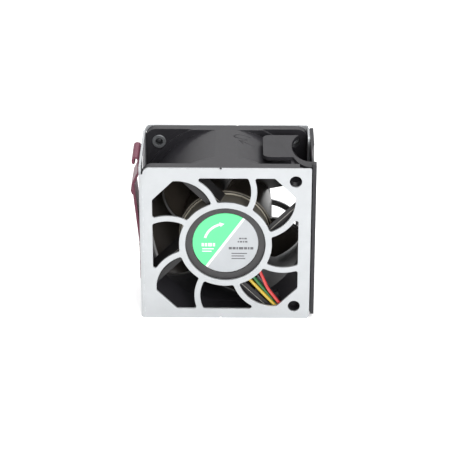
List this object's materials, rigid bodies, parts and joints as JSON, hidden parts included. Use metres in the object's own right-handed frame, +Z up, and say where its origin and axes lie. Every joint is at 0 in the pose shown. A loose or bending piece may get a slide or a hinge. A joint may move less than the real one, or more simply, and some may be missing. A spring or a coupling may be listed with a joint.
{
  "type": "server fan module",
  "caption": "Square axial fan in a folded steel grille, with a sprung side latch and a side carrier that holds a blind-mate connector.",
  "frame": {"origin": "on the bottom plane of the square fan frame, below the fan axis and midway between the two flange faces", "axes": "+X to the right seen from the front, +Y to the rear along the fan axis, +Z up; the bottom faces -Z and the front grille faces -Y"},
  "size_m": [0.0668, 0.0399, 0.0615],
  "materials": {
    "zinc_steel": "satin zinc-plated sheet steel",
    "bright_steel": "bright nickel-plated steel",
    "black_plastic": "fine matt moulded plastic, black",
    "impeller_plastic": "smooth semi-gloss moulded plastic, black",
    "carrier_plastic": "satin moulded plastic, dark grey",
    "connector_plastic": "moulded plastic, black",
    "label_paper": "printed foil label, green and silver grey",
    "circuit_board": "green solder mask",
    "brass": "turned brass",
    "bearing_steel": "ground bearing steel",
    "core_steel": "stacked laminations",
    "insulator_plastic": "moulded nylon, natural",
    "enamelled_copper": "enamelled copper wire",
    "magnet": "bonded ferrite",
    "wire_yellow": "yellow insulation",
    "wire_green": "green insulation",
    "wire_black": "black insulation",
    "wire_red": "red insulation",
    "tinned_contact": "tin-plated spring contact",
    "maroon_strip": "maroon coated spring strip"
  },
  "bodies": {
    "module": {"front_guard": "zinc_steel", "side_wall": "zinc_steel", "rear_guard": "zinc_steel", "guard_return": "zinc_steel", "frame_rivets": "bright_steel", "latch_rivets": "bright_steel", "fan_frame": "black_plastic", "motor_base": "black_plastic", "label": "label_paper", "circuit_board": "circuit_board", "bearing_tube": "brass", "bearing_outer_races": "bearing_steel", "bearing_balls": "bearing_steel", "preload_washer": "bearing_steel", "stator_core": "core_steel", "stator_insulator": "insulator_plastic", "stator_coils": "enamelled_copper", "wire_yellow": "wire_yellow", "wire_green": "wire_green", "wire_black": "wire_black", "wire_red": "wire_red", "connector_housing": "connector_plastic", "connector_contacts": "tinned_contact", "connector_carrier": "carrier_plastic", "latch_foot": "maroon_strip"},
    "rotor": {"impeller": "impeller_plastic", "rotor_yoke": "bright_steel", "magnet_ring": "magnet", "shaft": "bearing_steel", "bearing_inner_races": "bearing_steel", "retaining_ring": "bearing_steel"},
    "latch": {"latch_arm": "maroon_strip"}
  },
  "joints": [
    {"name": "rotor_spin", "type": "hinge", "parent": "module", "child": "rotor", "pos_m": [0, 0, 0.03], "axis": [0, 1, 0], "continuous": true},
    {"name": "latch_flex", "type": "hinge", "parent": "module", "child": "latch", "pos_m": [-0.0308, 0, 0.0235], "axis": [0, 1, 0], "range_deg": [0, 4], "stiffness_Nm_per_rad": 0.3}
  ]
}
